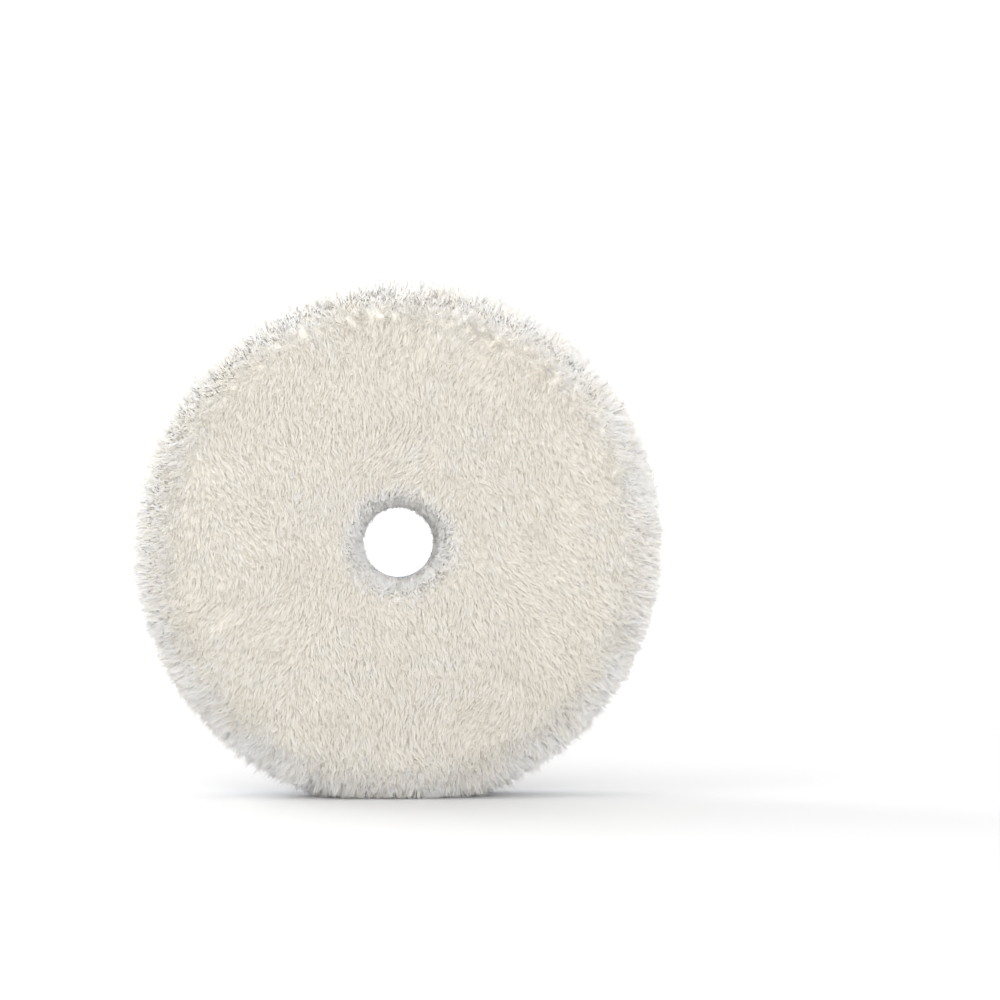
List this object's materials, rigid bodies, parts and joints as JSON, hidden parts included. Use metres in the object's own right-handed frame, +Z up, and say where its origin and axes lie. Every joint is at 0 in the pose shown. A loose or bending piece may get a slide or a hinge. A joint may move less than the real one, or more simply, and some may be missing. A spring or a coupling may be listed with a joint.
{
  "type": "wool polishing pad",
  "caption": "Round wool polishing pad with a black loop backing, a blue foam interlayer and a centre hole, for an orbital polishing machine.",
  "frame": {"origin": "on the pad's axis, in the outer face of the loop backing cloth, where the machine's backing plate seats", "axes": "+Y along the pad's axis, out of the loop face towards the machine; the wool works towards -Y; +Z up with the pad stood on its rim"},
  "size_m": [0.16, 0.029, 0.158],
  "materials": {
    "loop_cloth": "matte",
    "glue": "satin",
    "foam": "matte",
    "hide": "matte",
    "wool": "matte",
    "ink": "matte"
  },
  "bodies": {
    "root": {"loop_fabric": "loop_cloth", "loop_adhesive": "glue", "foam_interlayer": "foam", "hide_adhesive": "glue", "wool_hide": "hide", "wool_pile": "wool", "emblem_print": "ink", "upper_print_bars": "ink", "lower_print_bars": "ink"}
  },
  "joints": []
}
